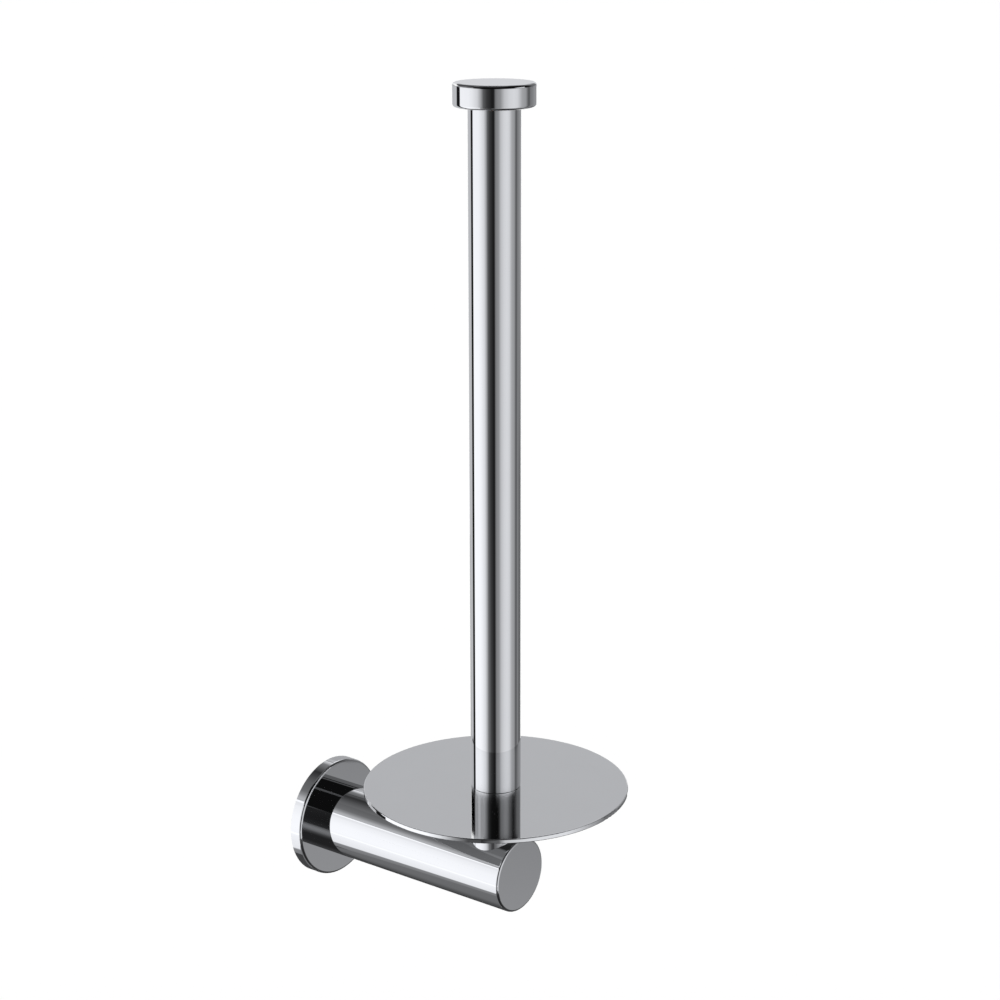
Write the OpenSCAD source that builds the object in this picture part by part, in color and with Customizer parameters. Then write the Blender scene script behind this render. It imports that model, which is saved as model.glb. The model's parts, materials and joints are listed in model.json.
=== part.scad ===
// Upright holder for spare toilet rolls: a round rose on the wall carries a
// horizontal arm, and a post on the arm takes three rolls, stacked on a disc.
// Millimetres. The origin is the centre of the rose's back, on the wall.
// +Z is up, the arm runs out of the wall along -Y and +X is to the right.

/* [Wall plate] */
// Thickness of the round plate that is screwed to the wall
plate_t = 3.6; // [3.2:0.1:3.8]
// Gap all round between the plate and the rose's cavity
plate_gap = 0.3; // [0.15:0.05:0.5]
// Gap between the plate's front and the floor of the cavity
plate_front_gap = 0.2; // [0.1:0.05:0.4]
// Hole in the plate's middle, which clears the head of the arm's screw
plate_window_d = 16; // [14:0.5:18]
// Distance between the two wall screws
wall_screw_spacing = 31; // [29:0.5:33]
// Hole for each wall screw
wall_screw_hole_d = 4.5; // [4:0.1:5]
// Wall screw's countersink at the plate's front
wall_screw_sink_d = 8.8; // [8:0.2:9.4]

/* [Rose] */
// Outer diameter of the rose
rose_d = 55.5; // [52:0.5:60]
// Thickness of the rose's rim, measured along its radius
rose_rim_t = 5.45; // [4.8:0.05:6]
// Thickness of the rose's front face
rose_face_t = 2.2; // [1.8:0.1:3]
// Rounding of the rose's front edge
rose_round = 1.1; // [0.5:0.1:1.6]

/* [Rose set screw] */
// Thread diameter
set_screw_d = 3; // [2.5:0.5:3]
// Length
set_screw_l = 5; // [4:0.5:5]
// Distance of its axis from the wall
set_screw_from_wall = 2.1; // [1.9:0.05:2.2]
// Hexagon socket across its flats
set_screw_key = 1.5; // [1.3:0.1:1.5]
// Depth of the socket
set_screw_key_depth = 1.8; // [1.2:0.1:2.4]
// Gap between its tip and the plate's rim
set_screw_tip_gap = 0.02; // [0.01:0.01:0.05]

/* [Arm] */
// Outer diameter of the arm
arm_d = 33.5; // [31:0.5:36]
// Wall of the arm's tube
arm_wall = 1.5; // [1.2:0.1:2]
// Distance from the rose's front to the post's axis
post_from_rose = 92.7; // [80:0.5:105]
// Distance from the post's axis to the arm's end
arm_past_post = 13.6; // [13:0.2:22]
// Thickness of the end cap's face, which is all rounded off at its edge
end_cap_round = 1; // [0.6:0.1:1.2]
// Length of the end cap's skirt inside the tube
end_cap_skirt_l = 3.6; // [2.6:0.2:4.2]
// Wall of the skirt
end_cap_skirt_t = 2; // [1.4:0.1:2.6]
// Gap between the skirt and the tube
end_cap_gap = 0.02; // [0.01:0.01:0.05]

/* [Arm fixing] */
// Thickness of the plug in the arm's rear end
rear_plug_l = 12; // [11:0.5:16]
// Thread diameter of the screw that holds the arm to the rose
arm_screw_d = 6; // [5:0.5:6]
// Length of thread in the plug
arm_screw_grip = 9; // [7:0.5:10]
// Diameter of the screw's head
arm_screw_head_d = 10.5; // [9.5:0.5:11]
// Height of the screw's head
arm_screw_head_h = 3; // [2.4:0.1:3.2]
// Hexagon socket across its flats
arm_screw_key = 4; // [3:0.5:4]
// Depth of the socket
arm_screw_key_depth = 2; // [1.4:0.1:2.4]
// Diameter of the locating pin
pin_d = 3; // [2:0.5:3.5]
// Length of the locating pin
pin_l = 8; // [7:0.5:10]
// Distance from the rear plug's rim in to the pin's axis
pin_inset = 5.25; // [4:0.25:6.5]

/* [Collar] */
// Outer diameter of the collar between the arm and the disc
collar_d = 22; // [18:0.5:24]
// Height from the top of the arm to the underside of the disc
collar_h = 21.5; // [15:0.5:30]
// Gap between the collar's saddle and the arm
saddle_gap = 0.03; // [0.01:0.01:0.1]

/* [Disc] */
// Diameter of the disc that the lowest roll stands on
disc_d = 117; // [100:1:130]
// Thickness of the disc
disc_t = 2; // [1.6:0.1:3]
// Rounding of the disc's edges
disc_round = 0.4; // [0.2:0.05:0.6]
// Depth of the recess that the post stands in
recess_depth = 0.6; // [0.5:0.05:0.9]
// Gap between the post and the recess
recess_gap = 0.1; // [0.05:0.05:0.2]

/* [Post] */
// Outer diameter of the post
post_d = 22; // [20:0.5:25]
// Wall of the post's tube
post_wall = 1.5; // [1:0.1:2]
// Clear height from the disc to the knob
post_h = 297; // [200:1:320]
// Rounding of the post's foot
post_foot_round = 0.5; // [0.3:0.05:0.8]
// Length of the plug in the post's foot
foot_plug_l = 14; // [13:0.5:18]
// Length of the plug in the post's top
top_plug_l = 12; // [10:0.5:16]
// Washer that the post turns on
post_washer_d = 19; // [16:0.5:19.5]
// Thickness of that washer
post_washer_t = 0.4; // [0.3:0.05:0.45]

/* [Post bolt] */
// Thread diameter of the bolt that holds the post
bolt_d = 8; // [6:1:8]
// Length of thread in the post's foot
bolt_grip = 12; // [8:0.5:12.5]
// Bolt's head across its flats
bolt_key = 13; // [12:0.5:13]
// Height of the bolt's head
bolt_head_h = 5.3; // [4:0.1:6]
// Outer diameter of the spring washer
spring_washer_d = 14; // [13:0.5:14]
// Thickness of the spring washer
spring_washer_t = 2; // [1.4:0.1:2.4]
// Width of the split in the spring washer
spring_washer_split = 1.2; // [0.6:0.1:1.6]
// Width of the saddle washer, across and along the arm
saddle_washer_w = 14; // [12:0.5:14]
// Thickness of the saddle washer in its middle
saddle_washer_t = 3.5; // [3:0.1:4.5]

/* [Knob] */
// Diameter of the knob on the post
knob_d = 34.5; // [30:0.5:37]
// Height of the knob
knob_h = 10; // [9:0.5:14]
// Rounding of the knob's top and bottom edges
knob_round = 1.4; // [0.4:0.1:1.6]
// Thread diameter of the stud that holds the knob
stud_d = 6; // [4:1:6]
// Length of the stud in the post's top
stud_in_post = 8; // [6:0.5:9]
// Length of the stud in the knob
stud_in_knob = 7; // [5:0.5:7]
// Depth of the knob's bore past the end of the stud
knob_bore_spare = 1; // [0.5:0.25:1.25]
// Washer under the knob
knob_washer_d = 16; // [14:0.5:19]
// Thickness of that washer
knob_washer_t = 0.6; // [0.4:0.1:1]

/* [Fits] */
// Gap round a screw or bolt in a plain hole
clear_gap = 0.2; // [0.1:0.05:0.4]
// Gap round a screw or pin in its thread or seat, since threads are plain
thread_gap = 0.05; // [0.03:0.01:0.08]

/* [Hidden] */
$fn = 96;
// How far a cut runs past the face that it opens
past = 1;

// Rose and wall plate, as distances out of the wall and radii round the arm's axis
cavity_r = rose_d / 2 - rose_rim_t;
cavity_depth = plate_t + plate_front_gap;
rose_front = cavity_depth + rose_face_t;
plate_r = cavity_r - plate_gap;
set_screw_tip = plate_r + set_screw_tip_gap;

// Arm, as distances out of the wall
arm_inner_r = arm_d / 2 - arm_wall;
post_y = rose_front + post_from_rose;
arm_end = post_y + arm_past_post;
tube_end = arm_end - end_cap_round;
skirt_r = arm_inner_r - end_cap_gap;
pin_height = arm_inner_r - pin_inset;

// Heights on the post's axis, from the arm's inside up
saddle_top = arm_inner_r - saddle_gap;
saddle_flat = saddle_top - saddle_washer_t;
bolt_seat = saddle_flat - spring_washer_t;
disc_bottom = arm_d / 2 + collar_h;
disc_top = disc_bottom + disc_t;
recess_floor = disc_top - recess_depth;
post_foot = recess_floor + post_washer_t;
knob_bottom = disc_top + post_h;
post_top = knob_bottom - knob_washer_t;
post_inner_r = post_d / 2 - post_wall;

// Puts a shape that stands on the XY plane on the wall, so that its height runs out along the arm
module out_of_wall(distance) {
    translate([0, -distance, 0])
        rotate([90, 0, 0])
            children();
}

// Puts a shape that stands on the XY plane on the post's axis
module on_post(height) {
    translate([0, -post_y, height])
        children();
}

// Round piece turned about Z, with its edges rounded off and an optional bore
module turned(d, h, bottom_round = 0, top_round = 0, bore_d = 0) {
    rotate_extrude()
        intersection() {
            union() {
                polygon([
                    [bore_d / 2, 0],
                    [d / 2 - bottom_round, 0],
                    [d / 2, bottom_round],
                    [d / 2, h - top_round],
                    [d / 2 - top_round, h],
                    [bore_d / 2, h]
                ]);
                if (bottom_round > 0)
                    translate([d / 2 - bottom_round, bottom_round])
                        circle(r = bottom_round);
                if (top_round > 0)
                    translate([d / 2 - top_round, h - top_round])
                        circle(r = top_round);
            }
            translate([bore_d / 2, 0])
                square([d / 2, h]);
        }
}

// Hexagonal prism, measured across its flats
module hexagon(key, h) {
    cylinder(d = key / cos(30), h = h, $fn = 6);
}

// Round plate on the wall, with a window for the arm's screw and two countersunk holes
module wall_plate() {
    sink_h = (wall_screw_sink_d - wall_screw_hole_d) / 2;
    color("silver")
        out_of_wall(0)
            difference() {
                cylinder(r = plate_r, h = plate_t);
                translate([0, 0, -past])
                    cylinder(d = plate_window_d, h = plate_t + 2 * past);
                for (side = [-1, 1])
                    translate([side * wall_screw_spacing / 2, 0, 0]) {
                        translate([0, 0, -past])
                            cylinder(d = wall_screw_hole_d, h = plate_t + 2 * past);
                        translate([0, 0, plate_t - sink_h])
                            cylinder(d1 = wall_screw_hole_d, d2 = wall_screw_sink_d, h = sink_h);
                    }
            }
}

// Round cover that carries the arm and drops over the wall plate
module rose() {
    color("gainsboro")
        difference() {
            out_of_wall(0)
                difference() {
                    turned(rose_d, rose_front, top_round = rose_round);
                    translate([0, 0, -past])
                        cylinder(r = cavity_r, h = cavity_depth + past);
                    translate([0, 0, cavity_depth - past])
                        cylinder(d = arm_screw_d + 2 * clear_gap, h = rose_face_t + 2 * past);
                    translate([0, pin_height, cavity_depth - past])
                        cylinder(d = pin_d, h = rose_face_t + 2 * past);
                }
            translate([0, -set_screw_from_wall, -rose_d / 2 - past])
                cylinder(d = set_screw_d + 2 * thread_gap, h = rose_rim_t + 2 * past);
        }
}

// Grub screw under the rose, which bears on the wall plate's rim
module rose_set_screw() {
    color("darkgray")
        translate([0, -set_screw_from_wall, -set_screw_tip - set_screw_l])
            difference() {
                cylinder(d = set_screw_d, h = set_screw_l);
                translate([0, 0, -past])
                    hexagon(set_screw_key, set_screw_key_depth + past);
            }
}

// Low-headed screw from the rose's cavity into the arm
module arm_screw() {
    color("darkgray")
        out_of_wall(cavity_depth - arm_screw_head_h)
            difference() {
                union() {
                    cylinder(d = arm_screw_head_d, h = arm_screw_head_h);
                    cylinder(
                        d = arm_screw_d,
                        h = arm_screw_head_h + rose_face_t + arm_screw_grip
                    );
                }
                translate([0, 0, -past])
                    hexagon(arm_screw_key, arm_screw_key_depth + past);
            }
}

// Dowel through the rose's face that stops the arm from turning
module arm_locating_pin() {
    color("darkgray")
        out_of_wall(cavity_depth)
            translate([0, pin_height, 0])
                cylinder(d = pin_d, h = pin_l);
}

// Plug in the arm's rear end, tapped for the arm's screw
module arm_rear_plug() {
    pin_bore_l = pin_l - rose_face_t + clear_gap;
    color("goldenrod")
        out_of_wall(rose_front)
            difference() {
                cylinder(r = arm_inner_r, h = rear_plug_l);
                translate([0, 0, -past])
                    cylinder(d = arm_screw_d + 2 * thread_gap, h = rear_plug_l + 2 * past);
                translate([0, pin_height, -past])
                    cylinder(d = pin_d + 2 * thread_gap, h = pin_bore_l + past);
            }
}

// Tube from the rose to the end cap, with the post bolt's hole in its top
module arm_tube() {
    color("gainsboro")
        difference() {
            out_of_wall(rose_front)
                cylinder(d = arm_d, h = tube_end - rose_front);
            out_of_wall(rose_front - past)
                cylinder(r = arm_inner_r, h = tube_end - rose_front + 2 * past);
            on_post(0)
                cylinder(d = bolt_d + 2 * clear_gap, h = arm_d);
        }
}

// Cap pushed into the arm's open end
module arm_end_cap() {
    color("gainsboro")
        out_of_wall(tube_end - end_cap_skirt_l)
            difference() {
                union() {
                    cylinder(r = skirt_r, h = end_cap_skirt_l);
                    translate([0, 0, end_cap_skirt_l])
                        turned(arm_d, end_cap_round, top_round = end_cap_round);
                }
                translate([0, 0, -past])
                    cylinder(r = skirt_r - end_cap_skirt_t, h = end_cap_skirt_l + past);
            }
}

// Bolt from inside the arm, through the collar and the disc, into the post's foot
module post_bolt() {
    color("darkgray")
        on_post(bolt_seat) {
            translate([0, 0, -bolt_head_h])
                hexagon(bolt_key, bolt_head_h);
            cylinder(d = bolt_d, h = post_foot + bolt_grip - bolt_seat);
        }
}

// Split washer that keeps the bolt tight
module spring_washer() {
    color("darkgray")
        on_post(bolt_seat)
            difference() {
                turned(spring_washer_d, spring_washer_t, bore_d = bolt_d + 2 * clear_gap);
                translate([0, -spring_washer_split / 2, -past])
                    cube([spring_washer_d, spring_washer_split, spring_washer_t + 2 * past]);
            }
}

// Washer with a curved back that seats the bolt against the inside of the tube
module saddle_washer() {
    half = saddle_washer_w / 2;
    color("goldenrod")
        difference() {
            intersection() {
                out_of_wall(post_y - half)
                    cylinder(r = saddle_top, h = saddle_washer_w);
                on_post(saddle_flat)
                    translate([-half, -half - past, 0])
                        cube([saddle_washer_w, saddle_washer_w + 2 * past, arm_d / 2]);
            }
            on_post(saddle_flat - past)
                cylinder(d = bolt_d + 2 * clear_gap, h = saddle_washer_t + 2 * past);
        }
}

// Short column between the arm and the disc, with a saddle that fits the arm
module collar() {
    color("gainsboro")
        difference() {
            on_post(0)
                cylinder(d = collar_d, h = disc_bottom);
            out_of_wall(post_y - collar_d)
                cylinder(d = arm_d + 2 * saddle_gap, h = 2 * collar_d);
            on_post(0)
                cylinder(d = bolt_d + 2 * clear_gap, h = disc_bottom + past);
        }
}

// Disc that the lowest roll stands on, with a recess that centres the post
module roll_disc() {
    color("silver")
        on_post(disc_bottom)
            difference() {
                turned(disc_d, disc_t, disc_round, disc_round, bolt_d + 2 * clear_gap);
                translate([0, 0, disc_t - recess_depth])
                    cylinder(d = post_d + 2 * recess_gap, h = recess_depth + past);
            }
}

// Thin washer in the disc's recess that the post turns on as it is screwed down
module post_washer() {
    color("whitesmoke")
        on_post(recess_floor)
            turned(post_washer_d, post_washer_t, bore_d = bolt_d + 2 * clear_gap);
}

// Tube that the rolls slide over
module post_tube() {
    color("gainsboro")
        on_post(post_foot)
            turned(
                post_d,
                post_top - post_foot,
                bottom_round = post_foot_round,
                bore_d = 2 * post_inner_r
            );
}

// Plug in the post's foot, tapped for the bolt
module post_foot_plug() {
    color("goldenrod")
        on_post(post_foot)
            turned(2 * post_inner_r, foot_plug_l, bore_d = bolt_d + 2 * thread_gap);
}

// Plug in the post's top, tapped for the knob's stud
module post_top_plug() {
    color("goldenrod")
        on_post(post_top - top_plug_l)
            turned(2 * post_inner_r, top_plug_l, bore_d = stud_d + 2 * thread_gap);
}

// Threaded stud that the knob screws onto
module knob_stud() {
    color("darkgray")
        on_post(post_top - stud_in_post)
            cylinder(d = stud_d, h = stud_in_post + knob_washer_t + stud_in_knob);
}

// Thin washer between the post and the knob
module knob_washer() {
    color("whitesmoke")
        on_post(post_top)
            turned(knob_washer_d, knob_washer_t, bore_d = stud_d + 2 * clear_gap);
}

// Flat round knob, a little narrower than the core of a roll
module knob() {
    color("gainsboro")
        on_post(knob_bottom)
            difference() {
                turned(knob_d, knob_h, knob_round, knob_round);
                translate([0, 0, -past])
                    cylinder(
                        d = stud_d + 2 * thread_gap,
                        h = past + stud_in_knob + knob_bore_spare
                    );
            }
}

wall_plate();
rose();
rose_set_screw();
arm_screw();
arm_locating_pin();
arm_rear_plug();
arm_tube();
arm_end_cap();
post_bolt();
spring_washer();
saddle_washer();
collar();
roll_disc();
post_washer();
post_tube();
post_foot_plug();
post_top_plug();
knob_stud();
knob_washer();
knob();
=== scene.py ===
"""Looks of an upright holder for spare toilet rolls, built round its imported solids.

Lengths are metres in the row frame: the origin is the centre of the rose's back,
+Z is up, the arm runs out of the wall along -Y and +X is to the right.
"""

import json
import logging
import math
from dataclasses import dataclass, field
from enum import Enum

import bpy
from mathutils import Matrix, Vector

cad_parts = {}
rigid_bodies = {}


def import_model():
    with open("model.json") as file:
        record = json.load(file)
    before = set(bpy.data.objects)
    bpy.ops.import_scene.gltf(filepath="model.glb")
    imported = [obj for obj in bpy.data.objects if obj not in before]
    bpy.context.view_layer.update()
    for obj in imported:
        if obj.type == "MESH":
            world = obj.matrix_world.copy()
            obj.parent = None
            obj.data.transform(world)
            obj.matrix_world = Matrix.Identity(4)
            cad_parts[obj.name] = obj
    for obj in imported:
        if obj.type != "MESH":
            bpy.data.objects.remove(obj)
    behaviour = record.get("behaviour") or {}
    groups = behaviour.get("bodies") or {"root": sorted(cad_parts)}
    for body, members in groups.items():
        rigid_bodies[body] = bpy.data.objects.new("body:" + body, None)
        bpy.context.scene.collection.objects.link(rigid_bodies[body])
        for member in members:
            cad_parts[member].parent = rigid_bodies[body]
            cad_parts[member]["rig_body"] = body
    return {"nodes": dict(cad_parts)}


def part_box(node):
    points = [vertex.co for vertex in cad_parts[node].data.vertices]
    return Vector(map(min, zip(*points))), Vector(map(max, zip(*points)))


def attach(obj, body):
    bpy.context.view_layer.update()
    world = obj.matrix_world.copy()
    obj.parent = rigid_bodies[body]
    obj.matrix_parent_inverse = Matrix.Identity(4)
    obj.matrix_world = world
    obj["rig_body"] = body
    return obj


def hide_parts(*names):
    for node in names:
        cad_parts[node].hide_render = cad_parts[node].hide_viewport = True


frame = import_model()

LOG = logging.getLogger("roll_holder")
MM = 0.001
# Points on the upright axes of the post and of the set screw
POST_AXIS = Vector((0.0, -0.0987, 0.0))
SET_SCREW_AXIS = Vector((0.0, -0.0021, 0.0))
# Points closer than this become one: in a finished piece, on a turned piece's axis, in a thread
MERGE_FINISHED = 2e-6
MERGE_POLE = 1e-6
MERGE_THREAD = 1e-7
# How far a cutting tool stands past the face that it cuts
PAST = 1.0 * MM

Colour = tuple[float, float, float]
Rows = tuple[tuple[float, float, float], ...]
Outline = list[tuple[float, float]]
Socket = bpy.types.NodeSocket


# Small helpers


def clear_selection() -> None:
    """Leaves nothing selected and Blender in object mode."""
    if bpy.context.mode != "OBJECT":
        bpy.ops.object.mode_set(mode="OBJECT")
    bpy.ops.object.select_all(action="DESELECT")


def make_active(obj: bpy.types.Object) -> None:
    """Selects one object alone and makes it the active one.

    Args:
        obj: The object that the next operators work on.
    """
    clear_selection()
    obj.select_set(True)
    bpy.context.view_layer.objects.active = obj


def bake_place(obj: bpy.types.Object) -> None:
    """Moves an object's place, turn and size into its mesh."""
    make_active(obj)
    bpy.ops.object.transform_apply(location=True, rotation=True, scale=True)


def apply_modifier(obj: bpy.types.Object, kind: str, **settings: object) -> None:
    """Adds one modifier, sets it up and applies it.

    Args:
        obj: The object that gets it.
        kind: Blender's name for the modifier type.
        **settings: The modifier's own settings.
    """
    make_active(obj)
    modifier = obj.modifiers.new(kind.lower(), kind)
    for name, value in settings.items():
        setattr(modifier, name, value)
    bpy.ops.object.modifier_apply(modifier=modifier.name)


def boolean(obj: bpy.types.Object, tool: bpy.types.Object, operation: str) -> None:
    """Joins a tool to an object, cuts it out or keeps what both share, and uses the tool up."""
    apply_modifier(obj, "BOOLEAN", operation=operation, object=tool, solver="EXACT")
    bpy.data.objects.remove(tool)


def hexagon_corner(key: float) -> float:
    """Gives the radius to a hexagon's corners from its width over two flat sides."""
    return key / 2 / math.cos(math.radians(30))


def hexagon_prism(name: str, key: float, low: float, high: float) -> bpy.types.Object:
    """Adds an upright hexagonal prism on the Z axis, with a corner towards +X.

    Args:
        name: Name of the new object.
        key: Its width over two flat sides.
        low: Height of its lower end.
        high: Height of its upper end.

    Returns:
        The new object, with its place still in the object.
    """
    clear_selection()
    bpy.ops.mesh.primitive_cylinder_add(
        vertices=6,
        radius=hexagon_corner(key),
        depth=high - low,
        location=(0.0, 0.0, (low + high) / 2),
        rotation=(0.0, 0.0, math.radians(90)),
    )
    obj = bpy.context.active_object
    obj.name = obj.data.name = name
    return obj


def flat_grid(name: str, columns: int, rows: int) -> bpy.types.Object:
    """Adds a grid that reaches from -1 to 1 along X and Y, to be bent by its points.

    Args:
        name: Name of the new object.
        columns: Number of faces along X.
        rows: Number of faces along Y.

    Returns:
        The new object.
    """
    clear_selection()
    bpy.ops.mesh.primitive_grid_add(x_subdivisions=columns, y_subdivisions=rows, size=2.0)
    obj = bpy.context.active_object
    obj.name = obj.data.name = name
    return obj


def share_along(coordinate: float) -> float:
    """Gives how far along a flat grid a coordinate lies, from 0 to 1."""
    return (coordinate + 1) / 2


def smooth(obj: bpy.types.Object, degrees: float = 35.0) -> None:
    """Shades an object smooth, apart from edges sharper than an angle."""
    make_active(obj)
    bpy.ops.object.shade_smooth_by_angle(angle=math.radians(degrees))


def clean_mesh(obj: bpy.types.Object) -> None:
    """Merges doubled points, drops slivers and turns all faces outwards.

    Args:
        obj: A closed mesh.
    """
    make_active(obj)
    bpy.ops.object.mode_set(mode="EDIT")
    bpy.ops.mesh.select_all(action="SELECT")
    bpy.ops.mesh.remove_doubles(threshold=MERGE_FINISHED)
    bpy.ops.mesh.dissolve_degenerate(threshold=MERGE_FINISHED)
    bpy.ops.mesh.normals_make_consistent(inside=False)
    bpy.ops.object.mode_set(mode="OBJECT")


# Finishes


class Grain(Enum):
    """How a surface was worked, which sets the pattern of its fine marks."""

    BUFFED = "buffed"
    TURNED = "turned"
    PLATED = "plated"
    MOULDED = "moulded"


# How much the marks vary round the axis, for the grains that run round it
SPOKES = {Grain.BUFFED: 3.0, Grain.TURNED: 0.4}
# Nearly all of a noise lies between these two values
NOISE_LOW = 0.3
NOISE_HIGH = 0.7
# Shares of the soft clouds and of the fine marks in the colour and the gloss
CLOUD_SHARE = 0.7
MARK_SHARE = 0.3
# Numbers of a mix node's colour sockets, which share their names with its other sockets
MIX_FIRST = 6
MIX_SECOND = 7
MIX_RESULT = 2


class Axis(Enum):
    """The line that a piece was turned and polished about."""

    POST = "post"
    ARM = "arm"
    SCREW = "screw"


class NodeDesk:
    """A short way to lay out the nodes of one material or world."""

    def __init__(self, tree: bpy.types.NodeTree) -> None:
        """Takes a node tree and clears it."""
        self.tree = tree
        tree.nodes.clear()

    def add(self, kind: str, inputs: dict | None = None, **settings: object) -> bpy.types.Node:
        """Adds one node.

        Args:
            kind: Blender's name for the node type.
            inputs: For each input, by name or number, a value or another node's output.
            **settings: The node's own settings.

        Returns:
            The new node.
        """
        node = self.tree.nodes.new(kind)
        for name, value in settings.items():
            setattr(node, name, value)
        for name, value in (inputs or {}).items():
            if isinstance(value, Socket):
                self.tree.links.new(value, node.inputs[name])
            else:
                node.inputs[name].default_value = value
        return node

    def math(self, operation: str, a: object, b: object = 0.0, clamp: bool = False) -> Socket:
        """Adds a math node and gives its output, which a clamp keeps from 0 to 1."""
        node = self.add("ShaderNodeMath", {0: a, 1: b}, operation=operation, use_clamp=clamp)
        return node.outputs[0]

    def spread(self, value: Socket, low: float, high: float) -> Socket:
        """Spreads a noise's middle range over two new limits.

        Args:
            value: The noise's output, from 0 to 1.
            low: Result where the noise is low.
            high: Result where the noise is high.

        Returns:
            The new output.
        """
        inputs = {
            "Value": value,
            "From Min": NOISE_LOW,
            "From Max": NOISE_HIGH,
            "To Min": low,
            "To Max": high,
        }
        return self.add("ShaderNodeMapRange", inputs).outputs[0]


def new_material(name: str) -> tuple[bpy.types.Material, NodeDesk]:
    """Makes a material with no nodes yet.

    Args:
        name: Its name.

    Returns:
        The material, and a desk to lay out its nodes on.
    """
    made = bpy.data.materials.new(name)
    made.use_nodes = True
    return made, NodeDesk(made.node_tree)


@dataclass(frozen=True)
class Finish:
    """One finish: its colour, its gloss, and the fine marks that the work left in it."""

    slot: str
    colour: Colour
    tint: Colour
    metallic: float
    roughness: tuple[float, float]
    grain: Grain
    marks_per_metre: float
    mark_height: float
    cloud_per_metre: float = 45.0
    subsurface: float = 0.0
    subsurface_reach: float = 0.6 * MM

    def material(self, axis: Axis) -> bpy.types.Material:
        """Gives the finish's material for pieces worked about one axis.

        Args:
            axis: The line that the marks run round.

        Returns:
            The material, made once and shared after that.
        """
        title = f"{self.slot}_{axis.value}"
        found = bpy.data.materials.get(title)
        if found is not None:
            return found
        made, desk = new_material(title)
        self._fill(desk, axis)
        return made

    def _centred(self, desk: NodeDesk, axis: Axis) -> Socket:
        """Gives object coordinates with the working axis on Z through the origin.

        Args:
            desk: The nodes of the material.
            axis: The line that the piece was worked about.

        Returns:
            The coordinates' output.
        """
        coordinates = desk.add("ShaderNodeTexCoord").outputs["Object"]
        if axis is Axis.ARM:
            place = {"Rotation": (math.radians(90), 0.0, 0.0)}
        elif axis is Axis.SCREW:
            place = {"Location": tuple(-SET_SCREW_AXIS)}
        else:
            place = {"Location": tuple(-POST_AXIS)}
        return desk.add("ShaderNodeMapping", {"Vector": coordinates, **place}).outputs[0]

    def _rings(self, desk: NodeDesk, centred: Socket) -> Socket:
        """Gives coordinates whose noise runs in long marks round the axis.

        Args:
            desk: The nodes of the material.
            centred: Coordinates with the working axis on Z.

        Returns:
            The new coordinates' output.
        """
        spokes = SPOKES[self.grain]
        parts = desk.add("ShaderNodeSeparateXYZ", {0: centred})
        flat_inputs = {"X": parts.outputs["X"], "Y": parts.outputs["Y"]}
        flat = desk.add("ShaderNodeCombineXYZ", flat_inputs).outputs[0]
        radius = desk.add("ShaderNodeVectorMath", {0: flat}, operation="LENGTH").outputs["Value"]
        bearing = desk.add("ShaderNodeVectorMath", {0: flat}, operation="NORMALIZE").outputs[0]
        turn = desk.add("ShaderNodeSeparateXYZ", {0: bearing})
        outwards = desk.math("ADD", radius, parts.outputs["Z"])
        inputs = {
            "X": desk.math("MULTIPLY", outwards, self.marks_per_metre),
            "Y": desk.math("MULTIPLY", turn.outputs["X"], spokes),
            "Z": desk.math("MULTIPLY", turn.outputs["Y"], spokes),
        }
        return desk.add("ShaderNodeCombineXYZ", inputs).outputs[0]

    def _marks(self, desk: NodeDesk, centred: Socket) -> Socket:
        """Gives the height pattern of the fine marks.

        Args:
            desk: The nodes of the material.
            centred: Coordinates with the working axis on Z.

        Returns:
            The pattern's output.
        """
        if self.grain in SPOKES:
            inputs = {"Vector": self._rings(desk, centred), "Scale": 1.0, "Detail": 3.0}
            return desk.add("ShaderNodeTexNoise", inputs).outputs[0]
        if self.grain is Grain.PLATED:
            inputs = {"Vector": centred, "Scale": self.marks_per_metre, "Randomness": 1.0}
            return desk.add("ShaderNodeTexVoronoi", inputs, feature="SMOOTH_F1").outputs["Distance"]
        inputs = {"Vector": centred, "Scale": self.marks_per_metre, "Detail": 5.0}
        return desk.add("ShaderNodeTexNoise", inputs).outputs[0]

    def _fill(self, desk: NodeDesk, axis: Axis) -> None:
        """Lays out the nodes of the material.

        Args:
            desk: The nodes of the material.
            axis: The line that the marks run round.
        """
        centred = self._centred(desk, axis)
        marks = self._marks(desk, centred)
        cloud_inputs = {
            "Vector": centred,
            "Scale": self.cloud_per_metre,
            "Detail": 3.0,
            "Roughness": 0.55,
        }
        cloud = desk.add("ShaderNodeTexNoise", cloud_inputs).outputs[0]
        both = desk.math(
            "ADD",
            desk.math("MULTIPLY", cloud, CLOUD_SHARE),
            desk.math("MULTIPLY", marks, MARK_SHARE),
        )
        colour = desk.add(
            "ShaderNodeMix",
            {
                "Factor": desk.spread(both, 0.0, 1.0),
                MIX_FIRST: (*self.colour, 1.0),
                MIX_SECOND: (*self.tint, 1.0),
            },
            data_type="RGBA",
        ).outputs[MIX_RESULT]
        bump = desk.add(
            "ShaderNodeBump",
            {"Height": marks, "Distance": self.mark_height, "Strength": 1.0},
        ).outputs[0]
        shader = desk.add(
            "ShaderNodeBsdfPrincipled",
            {
                "Base Color": colour,
                "Metallic": self.metallic,
                "Roughness": desk.spread(both, *self.roughness),
                "Normal": bump,
            },
        )
        if self.subsurface:
            shader.inputs["Subsurface Weight"].default_value = self.subsurface
            shader.inputs["Subsurface Scale"].default_value = self.subsurface_reach
        desk.add("ShaderNodeOutputMaterial", {"Surface": shader.outputs[0]})

    def dress(self, obj: bpy.types.Object, axis: Axis) -> None:
        """Puts the finish on every material slot of an object.

        Args:
            obj: A CAD node or a new piece.
            axis: The line that it was worked about.
        """
        made = self.material(axis)
        if not obj.data.materials:
            obj.data.materials.append(made)
        for slot in obj.material_slots:
            slot.material = made


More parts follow.
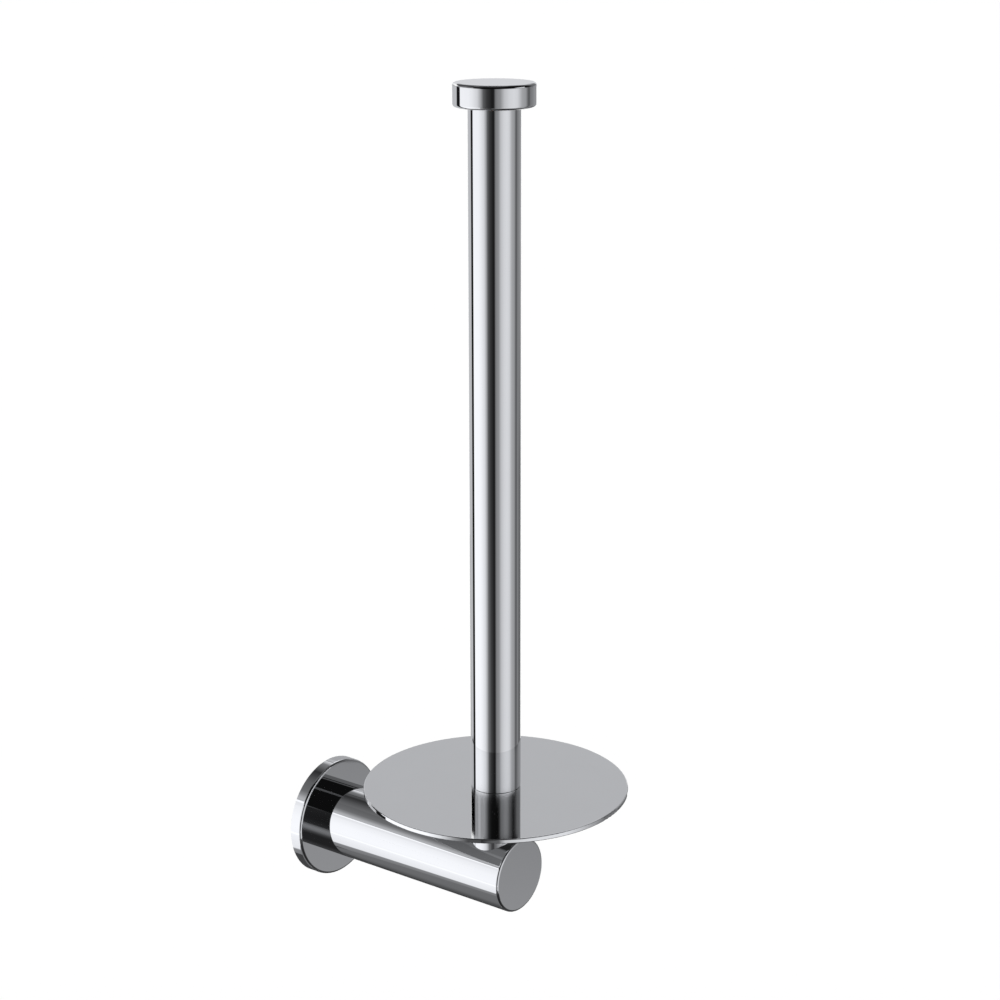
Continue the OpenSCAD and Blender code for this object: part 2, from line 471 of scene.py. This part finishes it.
CHROME = Finish(
    slot="polished_chrome",
    colour=(0.885, 0.89, 0.895),
    tint=(0.87, 0.875, 0.885),
    metallic=1.0,
    roughness=(0.015, 0.04),
    grain=Grain.BUFFED,
    marks_per_metre=2500.0,
    mark_height=1.5e-7,
)
STEEL_SHEET = Finish(
    slot="polished_steel_sheet",
    colour=(0.875, 0.88, 0.885),
    tint=(0.86, 0.865, 0.87),
    metallic=1.0,
    roughness=(0.02, 0.045),
    grain=Grain.BUFFED,
    marks_per_metre=1800.0,
    mark_height=1.5e-7,
)
ZINC = Finish(
    slot="zinc_plated_steel",
    colour=(0.62, 0.64, 0.68),
    tint=(0.52, 0.53, 0.54),
    metallic=1.0,
    roughness=(0.24, 0.42),
    grain=Grain.PLATED,
    marks_per_metre=1400.0,
    mark_height=6e-6,
    cloud_per_metre=160.0,
)
STAINLESS = Finish(
    slot="stainless_steel",
    colour=(0.6, 0.59, 0.57),
    tint=(0.5, 0.49, 0.47),
    metallic=1.0,
    roughness=(0.2, 0.34),
    grain=Grain.TURNED,
    marks_per_metre=9000.0,
    mark_height=2e-6,
    cloud_per_metre=220.0,
)
BRASS = Finish(
    slot="turned_brass",
    colour=(0.78, 0.56, 0.22),
    tint=(0.66, 0.44, 0.16),
    metallic=1.0,
    roughness=(0.18, 0.34),
    grain=Grain.TURNED,
    marks_per_metre=6000.0,
    mark_height=4e-6,
    cloud_per_metre=150.0,
)
NYLON = Finish(
    slot="clear_nylon",
    colour=(0.82, 0.82, 0.78),
    tint=(0.76, 0.76, 0.71),
    metallic=0.0,
    roughness=(0.32, 0.48),
    grain=Grain.MOULDED,
    marks_per_metre=2600.0,
    mark_height=8e-6,
    subsurface=0.35,
)


# Screws


# Outline of one turn of a thread: shares of the pitch, and of the rise from root to crest
THREAD_OUTLINE = (
    (0.0, 0.0),
    (0.06, 0.0),
    (0.125, 0.04),
    (0.4375, 1.0),
    (0.5625, 1.0),
    (0.875, 0.04),
    (0.94, 0.0),
    (1.0, 0.0),
)
# Depth of a metric thread as a share of its pitch
THREAD_DEPTH = 0.6134


@dataclass
class Thread:
    """A rod with a standard thread, cut off square at both ends, on the Z axis.

    It may have a chamfer at each end. It may be plain for some length at its lower end,
    after which the thread gets its full depth within one pitch.
    """

    radius: float
    pitch: float
    low: float
    high: float
    low_chamfer: float = 0.0
    high_chamfer: float = 0.0
    plain: float = 0.0
    steps: int = 64

    @property
    def depth(self) -> float:
        """Depth of the thread, from crest to root."""
        return THREAD_DEPTH * self.pitch

    def _rise_at(self, share: float) -> float:
        """Gives the outline's rise.

        Args:
            share: How far along one pitch, from 0 to 1.

        Returns:
            The rise, from 0 at the root to 1 at the crest.
        """
        for (a, first), (b, second) in zip(THREAD_OUTLINE, THREAD_OUTLINE[1:]):
            if share <= b:
                return first + (share - a) / (b - a) * (second - first)
        return THREAD_OUTLINE[-1][1]

    def _radius_at(self, height: float, turn: float) -> float:
        """Gives the rod's radius at one point.

        Args:
            height: The point's height.
            turn: Its place round the rod, as a share of the full turn.

        Returns:
            The radius.
        """
        share = ((height - self.low) / self.pitch - turn) % 1.0
        depth = self.depth * (1.0 - self._rise_at(share))
        if self.plain:
            depth *= min(1.0, max(0.0, (height - self.low - self.plain) / self.pitch))
        upper = self.radius - self.high_chamfer + self.high - height
        lower = self.radius - self.low_chamfer + height - self.low
        return min(self.radius - depth, upper, lower)

    def build(self, name: str) -> bpy.types.Object:
        """Rolls a grid up round the Z axis, with its rows along the thread, and closes its ends.

        Args:
            name: Name of the new object.

        Returns:
            A closed threaded rod.
        """
        per_turn = len(THREAD_OUTLINE) - 1
        rows = per_turn * (math.ceil((self.high - self.low) / self.pitch) + 2)
        obj = flat_grid(name, self.steps, rows)
        for vertex in obj.data.vertices:
            turn = round(share_along(vertex.co.x) * self.steps) / self.steps
            turns, corner = divmod(round(share_along(vertex.co.y) * rows), per_turn)
            height = self.low + self.pitch * (turns - 1 + THREAD_OUTLINE[corner][0] + turn)
            height = min(max(height, self.low), self.high)
            radius = self._radius_at(height, turn)
            angle = math.tau * turn
            vertex.co = (radius * math.cos(angle), radius * math.sin(angle), height)
        bpy.ops.object.mode_set(mode="EDIT")
        bpy.ops.mesh.select_all(action="SELECT")
        bpy.ops.mesh.remove_doubles(threshold=MERGE_THREAD)
        bpy.ops.mesh.fill_holes(sides=0)
        bpy.ops.object.mode_set(mode="OBJECT")
        clean_mesh(obj)
        return obj


def turned_solid(name: str, outline: Outline, steps: int = 96) -> bpy.types.Object:
    """Turns an outline round the Z axis into a closed solid.

    Args:
        name: Name of the new object.
        outline: Points (radius, height), from the axis round to the axis.
        steps: Number of steps in the full turn.

    Returns:
        The solid, at the origin.
    """
    clear_selection()
    bpy.ops.mesh.primitive_circle_add(vertices=len(outline), radius=MM)
    obj = bpy.context.active_object
    obj.name = obj.data.name = name
    # The circle is opened between its last point and its first, and then laid out anew
    bpy.ops.object.mode_set(mode="EDIT")
    bpy.ops.mesh.select_all(action="DESELECT")
    bpy.ops.object.mode_set(mode="OBJECT")
    last = len(outline) - 1
    for edge in obj.data.edges:
        edge.select = set(edge.vertices) == {0, last}
    bpy.ops.object.mode_set(mode="EDIT")
    bpy.ops.mesh.delete(type="EDGE")
    bpy.ops.object.mode_set(mode="OBJECT")
    for vertex, (radius, height) in zip(obj.data.vertices, outline):
        vertex.co = (radius, 0.0, height)
    apply_modifier(
        obj,
        "SCREW",
        axis="Z",
        steps=steps,
        render_steps=steps,
        use_merge_vertices=True,
        merge_threshold=MERGE_POLE,
        use_smooth_shade=True,
    )
    bake_place(obj)
    clean_mesh(obj)
    return obj


# The holder


@dataclass
class SubAssembly:
    """CAD nodes that share a place on the holder, and the pieces added to them."""

    finishes: dict[str, tuple[Finish, Axis]]

    def build(self) -> None:
        """Gives each CAD node its finish, and adds the finer pieces."""
        for name, (finish, axis) in self.finishes.items():
            finish.dress(frame["nodes"][name], axis)
            LOG.info("dressed %s in %s", name, finish.slot)
        self.add_pieces()

    def add_pieces(self) -> None:
        """Makes the pieces that take the place of CAD nodes, where there are any."""

    def stand_in(self, obj: bpy.types.Object, node: str, finish: Finish, axis: Axis) -> None:
        """Puts a finer piece in the place of a CAD node.

        Args:
            obj: The new piece, in place.
            node: The CAD node that it stands for.
            finish: Its finish.
            axis: The line that it was worked about.
        """
        bake_place(obj)
        clean_mesh(obj)
        smooth(obj)
        finish.dress(obj, axis)
        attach(obj, frame["nodes"][node]["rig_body"])
        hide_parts(node)
        LOG.info("made %s: %d faces for %s", obj.name, len(obj.data.polygons), node)


@dataclass
class WallMount(SubAssembly):
    """The wall plate and the rose over it, with the set screw that locks them.

    The cone that cuts the set screw's cup has its tip at the cup's depth and its wide
    end past the screw's own end.
    """

    finishes: dict[str, tuple[Finish, Axis]] = field(
        default_factory=lambda: {
            "wall_plate": (ZINC, Axis.ARM),
            "rose": (CHROME, Axis.ARM),
        }
    )
    screw_pitch: float = 0.5 * MM
    screw_radius: float = 1.5 * MM
    key: float = 1.5 * MM
    key_depth: float = 1.8 * MM
    cup_depth: float = 0.45 * MM
    cup_radius: float = 0.85 * MM
    cup_past: float = 0.4 * MM
    socket_chamfer: float = 0.25 * MM
    point_chamfer: float = 0.4 * MM
    steps: int = 48

    def add_pieces(self) -> None:
        """Makes the threaded grub screw with its hexagon socket and cup point."""
        low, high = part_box("rose_set_screw")
        rod = Thread(
            self.screw_radius,
            self.screw_pitch,
            low.z,
            high.z,
            low_chamfer=self.socket_chamfer,
            high_chamfer=self.point_chamfer,
            steps=self.steps,
        ).build("set_screw")
        socket = hexagon_prism("socket", self.key, low.z - PAST, low.z + self.key_depth)
        boolean(rod, socket, "DIFFERENCE")
        cup_top = high.z + self.cup_past
        cup_outline = [(0.0, high.z - self.cup_depth), (self.cup_radius, cup_top), (0.0, cup_top)]
        cup = turned_solid("cup", cup_outline, self.steps)
        boolean(rod, cup, "DIFFERENCE")
        rod.location = ((low.x + high.x) / 2, (low.y + high.y) / 2, 0.0)
        self.stand_in(rod, "rose_set_screw", STAINLESS, Axis.SCREW)


@dataclass
class Arm(SubAssembly):
    """The arm with its end cap, and the plug, screw and pin that hold it to the rose."""

    finishes: dict[str, tuple[Finish, Axis]] = field(
        default_factory=lambda: {
            "arm_tube": (CHROME, Axis.ARM),
            "arm_end_cap": (CHROME, Axis.ARM),
            "arm_rear_plug": (BRASS, Axis.ARM),
            "arm_locating_pin": (STAINLESS, Axis.ARM),
        }
    )
    head_radius: float = 5.25 * MM
    head_height: float = 3.0 * MM
    head_round: float = 0.5 * MM
    head_overlap: float = 0.4 * MM
    arc_steps: int = 6
    key: float = 4.0 * MM
    key_depth: float = 2.0 * MM
    pitch: float = 1.0 * MM
    radius: float = 3.0 * MM
    tip_chamfer: float = 0.8 * MM

    def add_pieces(self) -> None:
        """Makes the low-headed screw with its hexagon socket and thread."""
        low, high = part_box("arm_screw")
        length = high.y - low.y
        corner = self.head_radius - self.head_round
        angles = [math.radians(90 / self.arc_steps * step) for step in range(self.arc_steps + 1)]
        arc = [
            (corner + self.head_round * math.sin(a), self.head_round * (1 - math.cos(a)))
            for a in angles
        ]
        outline = [(0.0, 0.0), *arc, (self.head_radius, self.head_height), (0.0, self.head_height)]
        head = turned_solid("arm_screw_steel", outline)
        socket = hexagon_prism("socket", self.key, -PAST, self.key_depth)
        boolean(head, socket, "DIFFERENCE")
        inside_head = self.head_height - self.head_overlap
        thread = Thread(
            self.radius,
            self.pitch,
            inside_head,
            length,
            high_chamfer=self.tip_chamfer,
        ).build("thread")
        boolean(head, thread, "UNION")
        head.rotation_euler.x = math.radians(90)
        head.location = (0.0, high.y, 0.0)
        self.stand_in(head, "arm_screw", ZINC, Axis.ARM)


@dataclass
class RollStand(SubAssembly):
    """The collar and the disc on the arm, with the bolt and the washers that clamp them."""

    finishes: dict[str, tuple[Finish, Axis]] = field(
        default_factory=lambda: {
            "collar": (CHROME, Axis.POST),
            "roll_disc": (STEEL_SHEET, Axis.POST),
            "spring_washer": (STAINLESS, Axis.POST),
            "saddle_washer": (BRASS, Axis.ARM),
        }
    )
    radius: float = 4.0 * MM
    pitch: float = 1.25 * MM
    thread_low: float = 22.0 * MM
    head_key: float = 13.0 * MM
    head_height: float = 5.3 * MM
    head_chamfer: float = 0.9 * MM
    head_overlap: float = 0.5 * MM
    chamfer_degrees: float = 30.0
    tip_chamfer: float = 1.0 * MM

    def add_pieces(self) -> None:
        """Makes the hexagon bolt with its chamfered head and its thread."""
        low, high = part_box("post_bolt")
        bolt = hexagon_prism("post_bolt_steel", self.head_key, low.z, low.z + self.head_height)
        bake_place(bolt)
        corner = hexagon_corner(self.head_key)
        slope = math.tan(math.radians(self.chamfer_degrees))
        cone_low, cone_high = low.z - PAST, low.z + self.head_height + PAST
        cone_outline = [
            (0.0, cone_low),
            (corner - self.head_chamfer - PAST / slope, cone_low),
            (corner + PAST, low.z + (self.head_chamfer + PAST) * slope),
            (corner + PAST, cone_high),
            (0.0, cone_high),
        ]
        boolean(bolt, turned_solid("cone", cone_outline), "INTERSECT")
        inside_head = low.z + self.head_height - self.head_overlap
        rod = Thread(
            self.radius,
            self.pitch,
            inside_head,
            high.z,
            high_chamfer=self.tip_chamfer,
            plain=self.thread_low - inside_head,
        ).build("thread")
        boolean(bolt, rod, "UNION")
        bolt.location = tuple(POST_AXIS)
        self.stand_in(bolt, "post_bolt", ZINC, Axis.POST)


@dataclass
class Post(SubAssembly):
    """The post's tube with its two plugs, its washer, and the stud that carries the knob."""

    finishes: dict[str, tuple[Finish, Axis]] = field(
        default_factory=lambda: {
            "post_tube": (CHROME, Axis.POST),
            "post_foot_plug": (BRASS, Axis.POST),
            "post_top_plug": (BRASS, Axis.POST),
            "post_washer": (NYLON, Axis.POST),
        }
    )
    radius: float = 3.0 * MM
    pitch: float = 1.0 * MM
    end_chamfer: float = 0.7 * MM

    def add_pieces(self) -> None:
        """Makes the stud, threaded from end to end."""
        low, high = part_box("knob_stud")
        stud = Thread(
            self.radius,
            self.pitch,
            low.z,
            high.z,
            low_chamfer=self.end_chamfer,
            high_chamfer=self.end_chamfer,
        ).build("knob_stud_steel")
        stud.location = tuple(POST_AXIS)
        self.stand_in(stud, "knob_stud", ZINC, Axis.POST)


@dataclass
class Knob(SubAssembly):
    """The knob on the post and the washer under it."""

    finishes: dict[str, tuple[Finish, Axis]] = field(
        default_factory=lambda: {
            "knob": (CHROME, Axis.POST),
            "knob_washer": (NYLON, Axis.POST),
        }
    )


# The studio

WHITE = (1.0, 1.0, 1.0, 1.0)
# The cards are a cool white
CARD_COLOUR = (0.955, 0.965, 1.0, 1.0)
# Radius of the near ring of cards round the post, and of the far one
RING = 0.85
FAR = 3.0
# Height of the floor, of the cards that lie on it, and of the one that lies on those
FLOOR = -0.5
ON_FLOOR = -0.497
OVER_FLOOR = -0.496
# The rose's face mirrors the ring up to the first height, and the edge of the disc up to the next
ROSE_LINE = -0.345
EDGE_LINE = -0.3
# The knob and the post mirror it up to this one
KNOB_LINE = 0.27
# The post's foot mirrors the ring between these two heights, by way of the disc
FOOT_LINE = 0.366
DISC_LINE = 0.404
# The disc shows the post's own picture up to this height
STRIP_LINE = 0.446
# The arm sees a flat card at this height edge on, and mirrors it only by way of the disc
ARM_LINE = 0.0045
# The upper left card ends at this height and the dark one over it starts
UPPER_LINE = 0.88
# Heights at which the cards behind the holder meet, and at which the ceiling starts
PALE_LINE = 0.75
LIGHT_LINE = 1.1
CEILING_LINE = 1.7
# Radius of the middle card on the floor, where the outer ones end
FLOOR_MIDDLE = 0.47


@dataclass(frozen=True)
class Card:
    """A curved or flat card round the holder that is seen only by the polished metal.

    Its rows give (radius, height, share of the tone), from the lowest up or from the
    outside in. Its tones are given at bearings round the post, in degrees from the
    camera's side towards the camera's right. Both blend from one to the next. Its step is
    the width of its columns of faces, in degrees.
    """

    name: str
    rows: Rows
    tones: tuple[tuple[float, float], ...]
    step: float = 0.5

    def tone_at(self, bearing: float) -> float:
        """Gives the card's tone at a bearing.

        Args:
            bearing: Degrees from the camera's side.

        Returns:
            The brightness, where 1 is white.
        """
        for (a, first), (b, second) in zip(self.tones, self.tones[1:]):
            if a <= bearing <= b:
                return first + (second - first) * (bearing - a) / (b - a)
        return self.tones[-1][1]


def ring_rows(*heights: tuple[float, float], radius: float = RING) -> Rows:
    """Gives the rows of an upright card from their heights and shares of the tone."""
    return tuple((radius, height, share) for height, share in heights)


# Rows of the cards that reach from the floor to the disc's line
WHOLE = ring_rows((FLOOR, 1.0), (DISC_LINE, 1.0))
STRIP = ring_rows((DISC_LINE, 1.0), (STRIP_LINE, 1.0))
# Upper end of the cards that are dark between what the knob and the post's foot mirror
DARK_GAP = ((KNOB_LINE, 1.0), (0.285, 0.1), (0.355, 0.1), (FOOT_LINE, 1.0), (DISC_LINE, 1.0))

# The near ring, which gives the post and the knob their upright stripes
NEAR_CARDS = (
    Card("left_wall", WHOLE, ((-168.0, 0.8), (-160.0, 0.55), (-125.0, 0.58))),
    Card("left_flag", WHOLE, ((-125.0, 0.58), (-122.5, 0.01), (-108.0, 0.01), (-106.0, 1.1))),
    Card(
        "left_softbox",
        ring_rows(
            (FLOOR, 1.0),
            (-0.42, 1.02),
            (ROSE_LINE, 1.08),
            (-0.2, 1.12),
            (0.05, 1.1),
            (0.2, 1.03),
            (KNOB_LINE, 1.0),
            (0.29, 0.95),
            (0.355, 0.9),
            (FOOT_LINE, 1.15),
            (DISC_LINE, 1.15),
        ),
        ((-106.0, 1.02), (-74.0, 1.0), (-62.0, 0.92), (-47.0, 0.74), (-38.0, 0.44), (-30.0, 0.12)),
    ),
    Card(
        "front_flag",
        ring_rows((FLOOR, 1.6), (-0.29, 1.6), (-0.05, 1.0), (DISC_LINE, 1.0)),
        ((-30.0, 0.12), (-20.0, 0.045), (-6.0, 0.012), (-1.0, 0.02)),
    ),
    Card(
        "front_low",
        ring_rows((FLOOR, 1.0), (-0.4, 1.0), (-0.29, 0.45), radius=0.835),
        ((-12.0, 0.05), (-6.0, 0.16), (-1.0, 0.2), (3.0, 0.22)),
    ),
    Card(
        "front_wall",
        ring_rows((FLOOR, 1.0), *DARK_GAP),
        ((-1.0, 0.02), (3.0, 0.2), (9.0, 0.27), (16.0, 0.31)),
    ),
    Card(
        "right_wall",
        WHOLE,
        (
            (16.0, 0.31),
            (27.0, 0.6),
            (40.0, 0.74),
            (54.0, 0.79),
            (65.0, 0.74),
            (80.0, 0.43),
            (94.0, 0.35),
        ),
    ),
    Card(
        "right_back",
        ring_rows((ROSE_LINE, 1.0), *DARK_GAP),
        ((94.0, 0.35), (100.0, 0.2), (104.0, 0.12), (110.0, 0.12), (114.0, 0.2), (128.0, 0.26)),
    ),
    Card(
        "right_edge",
        ring_rows((ROSE_LINE, 0.45), (-0.05, 0.5), (0.15, 1.0), (DISC_LINE, 1.0)),
        ((128.0, 0.26), (140.0, 0.32), (160.0, 0.33)),
    ),
    Card(
        "right_low",
        ring_rows((FLOOR, 1.06), (-0.42, 1.0), (ROSE_LINE, 0.88)),
        ((94.0, 0.3), (160.0, 0.3)),
    ),
    # What the edge of the disc mirrors
    Card(
        "edge_strip",
        ring_rows((ROSE_LINE, 1.0), (EDGE_LINE, 1.0), radius=0.84),
        (
            (-125.0, 0.58),
            (-122.5, 0.01),
            (-108.0, 0.01),
            (-106.0, 1.2),
            (-60.0, 1.2),
            (-47.0, 0.86),
            (-35.0, 0.35),
            (-23.0, 0.08),
            (2.0, 0.08),
            (8.0, 0.65),
            (35.0, 0.86),
            (60.0, 0.86),
            (74.0, 0.66),
            (89.0, 0.42),
            (106.0, 0.18),
            (128.0, 0.2),
        ),
    ),
    Card(
        "rim_card",
        ring_rows((-0.03, 1.0), (0.09, 1.0), radius=0.222),
        ((-168.0, 0.42), (-150.0, 0.42)),
    ),
    # The arm's upper side mirrors this one by way of the disc's underside
    Card(
        "arm_flag",
        ((0.114, ARM_LINE, 1.0), (0.06, ARM_LINE, 1.0)),
        ((-98.0, 0.13), (-84.0, 0.15), (-63.0, 0.18)),
    ),
)
# The narrow strip that colours the post's picture in the disc
STRIP_CARDS = (
    Card(
        "strip_left",
        STRIP,
        (
            (-158.0, 0.0),
            (-117.0, 0.0),
            (-108.0, 0.36),
            (-92.0, 0.36),
            (-88.0, 0.5),
            (-78.0, 0.5),
            (-74.0, 0.36),
            (-54.0, 0.34),
            (-44.0, 0.18),
            (-33.0, 0.03),
        ),
    ),
    Card("strip_front", STRIP, ((-33.0, 0.03), (-20.0, 0.006), (9.0, 0.004), (16.0, 0.03))),
    Card(
        "strip_right",
        STRIP,
        (
            (16.0, 0.03),
            (24.0, 0.15),
            (44.0, 0.235),
            (55.0, 0.21),
            (68.0, 0.1),
            (85.0, 0.02),
            (92.0, 0.015),
            (104.0, 0.06),
            (118.0, 0.14),
            (135.0, 0.15),
            (160.0, 0.25),
        ),
    ),
)
# What stands and hangs above the ring, for the arm's upper side and the top of the disc
HIGH_CARDS = (
    Card(
        "upper_left",
        ring_rows((STRIP_LINE, 0.52), (0.5, 0.44), (0.56, 0.3), (0.66, 0.17), (UPPER_LINE, 0.13)),
        ((-125.0, 0.7), (-110.0, 1.0), (-60.0, 1.0)),
    ),
    Card("upper_flag", ring_rows((UPPER_LINE, 1.0), (1.6, 1.0)), ((-95.0, 0.01), (-40.0, 0.01))),
    Card(
        "upper_right",
        ring_rows((0.47, 1.0), (0.7, 1.0)),
        ((57.0, 0.1), (66.0, 0.7), (75.0, 0.9), (92.0, 0.9)),
    ),
    Card(
        "pale_back",
        ring_rows((0.1, 1.0), (PALE_LINE, 1.0), radius=FAR),
        ((158.0, 0.71), (194.0, 0.71)),
    ),
    Card(
        "light_back",
        ring_rows((PALE_LINE, 1.0), (LIGHT_LINE, 1.0), radius=FAR),
        ((158.0, 0.78), (195.0, 0.78)),
    ),
    Card(
        "high_back",
        ring_rows((LIGHT_LINE, 1.0), (CEILING_LINE, 1.0), radius=FAR),
        ((165.0, 0.52), (195.0, 0.52)),
    ),
    Card(
        "high_front",
        ring_rows((0.6, 1.0), (CEILING_LINE, 1.0), radius=FAR),
        ((-60.0, 0.005), (112.0, 0.005), (130.0, 0.15), (165.0, 0.2)),
    ),
    Card(
        "ceiling",
        (
            (FAR, CEILING_LINE, 1.0),
            (2.8, 2.2, 1.0),
            (2.5, 2.6, 1.0),
            (1.8, 3.0, 1.0),
            (0.01, 3.2, 1.0),
        ),
        (
            (-180.0, 0.02),
            (-164.0, 0.1),
            (-152.0, 0.1),
            (-142.0, 0.03),
            (-130.0, 0.06),
            (-109.0, 0.135),
            (-85.0, 0.2),
            (-40.0, 0.005),
            (112.0, 0.005),
            (135.0, 0.15),
            (150.0, 0.2),
            (180.0, 0.02),
        ),
    ),
    Card(
        "back_light",
        ((2.9, CEILING_LINE, 1.0), (2.7, 2.2, 1.0), (2.45, 2.5, 1.0), (2.4, 2.57, 0.1)),
        ((150.0, 0.2), (172.0, 1.1), (180.0, 1.5), (187.0, 1.1), (196.0, 0.22), (208.0, 0.1)),
    ),
    Card(
        "overhead",
        ((1.0, 3.0, 0.4), (0.8, 3.0, 1.0), (0.01, 3.0, 1.0)),
        ((-180.0, 0.14), (180.0, 0.14)),
    ),
)
# What lies on the floor, for the undersides
FLOOR_CARDS = (
    Card(
        "floor_left",
        (
            (RING, ON_FLOOR, 1.0),
            (0.6, ON_FLOOR, 0.95),
            (0.57, ON_FLOOR, 0.27),
            (FLOOR_MIDDLE, ON_FLOOR, 0.22),
        ),
        ((-112.0, 1.0), (-50.0, 1.0)),
    ),
    Card(
        "floor_edge",
        ((RING, ON_FLOOR, 1.0), (FLOOR_MIDDLE, ON_FLOOR, 1.0)),
        ((-50.0, 0.03), (60.0, 0.03), (110.0, 0.06), (248.0, 0.06)),
    ),
    Card(
        "floor_front",
        (
            (RING, OVER_FLOOR, 1.0),
            (0.72, OVER_FLOOR, 0.8),
            (0.6, OVER_FLOOR, 0.35),
            (0.5, OVER_FLOOR, 0.15),
        ),
        ((-10.0, 0.15), (3.0, 0.21), (25.0, 0.18)),
    ),
    Card(
        "floor_middle",
        ((FLOOR_MIDDLE, ON_FLOOR, 1.0), (0.01, ON_FLOOR, 1.0)),
        (
            (-180.0, 0.04),
            (-150.0, 0.09),
            (-125.0, 0.16),
            (-60.0, 0.18),
            (-30.0, 0.02),
            (60.0, 0.02),
            (110.0, 0.06),
            (180.0, 0.04),
        ),
    ),
)


@dataclass
class Studio:
    """Camera, lamp, floor, surroundings and the cards round the holder.

    The camera's turns are in radians, and the lamp's tilt and width in degrees.
    """

    camera_place: tuple[float, float, float] = (-0.72383, -0.65448, 0.42999)
    camera_yaw: float = 0.91858
    camera_pitch: float = -0.27645
    camera_roll: float = 0.00133
    lens: float = 80.0
    sensor_width: float = 36.0
    near_limit: float = 0.01
    floor_size: float = 60.0
    floor_grey: float = 0.86
    floor_lift: float = 0.16
    sky_strength: float = 0.6
    lamp_place: tuple[float, float, float] = (-0.5, -0.6, 2.0)
    lamp_tilt: tuple[float, float, float] = (18.0, -14.0, 0.0)
    lamp_width: float = 50.0
    lamp_strength: float = 1.3
    cards: tuple[Card, ...] = (*NEAR_CARDS, *STRIP_CARDS, *HIGH_CARDS, *FLOOR_CARDS)

    def build_camera(self) -> None:
        """Places the camera where the photograph was taken from."""
        clear_selection()
        turn = (math.pi / 2 + self.camera_pitch, self.camera_roll, -self.camera_yaw)
        bpy.ops.object.camera_add(location=self.camera_place, rotation=turn)
        camera = bpy.context.active_object
        camera.name = "camera"
        camera.data.lens = self.lens
        camera.data.sensor_width = self.sensor_width
        camera.data.clip_start = self.near_limit
        bpy.context.scene.camera = camera
        LOG.info("placed the camera, lens %.0f mm", self.lens)

    def seen_as_background(self, desk: NodeDesk) -> Socket:
        """Gives 1 for the rays of the camera, of gloss and of glass, and else 0.

        Args:
            desk: The nodes of the world or of a stage material.

        Returns:
            The output that says so.
        """
        path = desk.add("ShaderNodeLightPath")
        seen = desk.math("ADD", path.outputs["Is Camera Ray"], path.outputs["Is Glossy Ray"])
        return desk.math("ADD", seen, path.outputs["Is Transmission Ray"], clamp=True)

    def build_world(self) -> None:
        """Makes plain even surroundings, white to the camera and in the metal."""
        world = bpy.data.worlds.new("surroundings")
        bpy.context.scene.world = world
        world.use_nodes = True
        desk = NodeDesk(world.node_tree)
        seen = self.seen_as_background(desk)
        plain_inputs = {"Color": WHITE, "Strength": self.sky_strength}
        plain = desk.add("ShaderNodeBackground", plain_inputs)
        white = desk.add("ShaderNodeBackground", {"Color": WHITE, "Strength": 1.0})
        mix = desk.add("ShaderNodeMixShader", {0: seen, 1: plain.outputs[0], 2: white.outputs[0]})
        desk.add("ShaderNodeOutputWorld", {"Surface": mix.outputs[0]})

    def build_floor(self) -> None:
        """Lays the pale floor under the holder."""
        clear_selection()
        bpy.ops.mesh.primitive_plane_add(size=self.floor_size, location=(0.0, 0.0, FLOOR))
        floor = bpy.context.active_object
        floor.name = "floor"
        bake_place(floor)
        made, desk = new_material("pale_floor")
        grey = (self.floor_grey, self.floor_grey, self.floor_grey, 1.0)
        matt = desk.add("ShaderNodeBsdfDiffuse", {"Color": grey})
        lift = desk.math("MULTIPLY", self.seen_as_background(desk), self.floor_lift)
        glow = desk.add("ShaderNodeEmission", {"Strength": lift})
        total = desk.add("ShaderNodeAddShader", {0: matt.outputs[0], 1: glow.outputs[0]})
        desk.add("ShaderNodeOutputMaterial", {"Surface": total.outputs[0]})
        floor.data.materials.append(made)

    def build_lamp(self) -> None:
        """Hangs one wide soft lamp, which the cards stand for in the metal."""
        clear_selection()
        tilt = tuple(math.radians(angle) for angle in self.lamp_tilt)
        bpy.ops.object.light_add(type="SUN", location=self.lamp_place, rotation=tilt)
        lamp = bpy.context.active_object
        lamp.name = "soft_lamp"
        lamp.data.angle = math.radians(self.lamp_width)
        lamp.data.energy = self.lamp_strength
        lamp.visible_glossy = False

    def build_card(self, card: Card) -> None:
        """Stands one card in its place.

        Args:
            card: Its rows and tones.
        """
        first, last = card.tones[0][0], card.tones[-1][0]
        columns = max(1, round((last - first) / card.step))
        rows = len(card.rows) - 1
        obj = flat_grid(card.name, columns, rows)
        tones = []
        for vertex in obj.data.vertices:
            bearing = first + (last - first) * share_along(vertex.co.x)
            radius, height, share = card.rows[round(share_along(vertex.co.y) * rows)]
            heading = self.camera_yaw + math.pi - math.radians(bearing)
            across, along = radius * math.sin(heading), radius * math.cos(heading)
            vertex.co = (across, POST_AXIS.y + along, height)
            tones.append(card.tone_at(bearing) * share)
        tone = obj.data.attributes.new("tone", "FLOAT", "POINT")
        tone.data.foreach_set("value", tones)
        made, desk = new_material(card.name)
        shade = desk.add("ShaderNodeAttribute", attribute_name="tone").outputs["Fac"]
        glow = desk.add("ShaderNodeEmission", {"Color": CARD_COLOUR, "Strength": shade})
        desk.add("ShaderNodeOutputMaterial", {"Surface": glow.outputs[0]})
        obj.data.materials.append(made)
        obj.visible_camera = obj.visible_diffuse = obj.visible_shadow = False
        LOG.info("stood %s: %d faces", card.name, len(obj.data.polygons))

    def build(self) -> None:
        """Builds the whole studio."""
        self.build_camera()
        self.build_world()
        self.build_floor()
        self.build_lamp()
        for card in self.cards:
            self.build_card(card)
        settings = bpy.context.scene.view_settings
        settings.view_transform = "Standard"


def main() -> None:
    """Builds the studio and every sub-assembly."""
    logging.basicConfig(level=logging.INFO, format="%(name)s: %(message)s")
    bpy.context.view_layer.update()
    Studio().build()
    for part in (WallMount(), Arm(), RollStand(), Post(), Knob()):
        part.build()


if __name__ == "__main__":
    main()
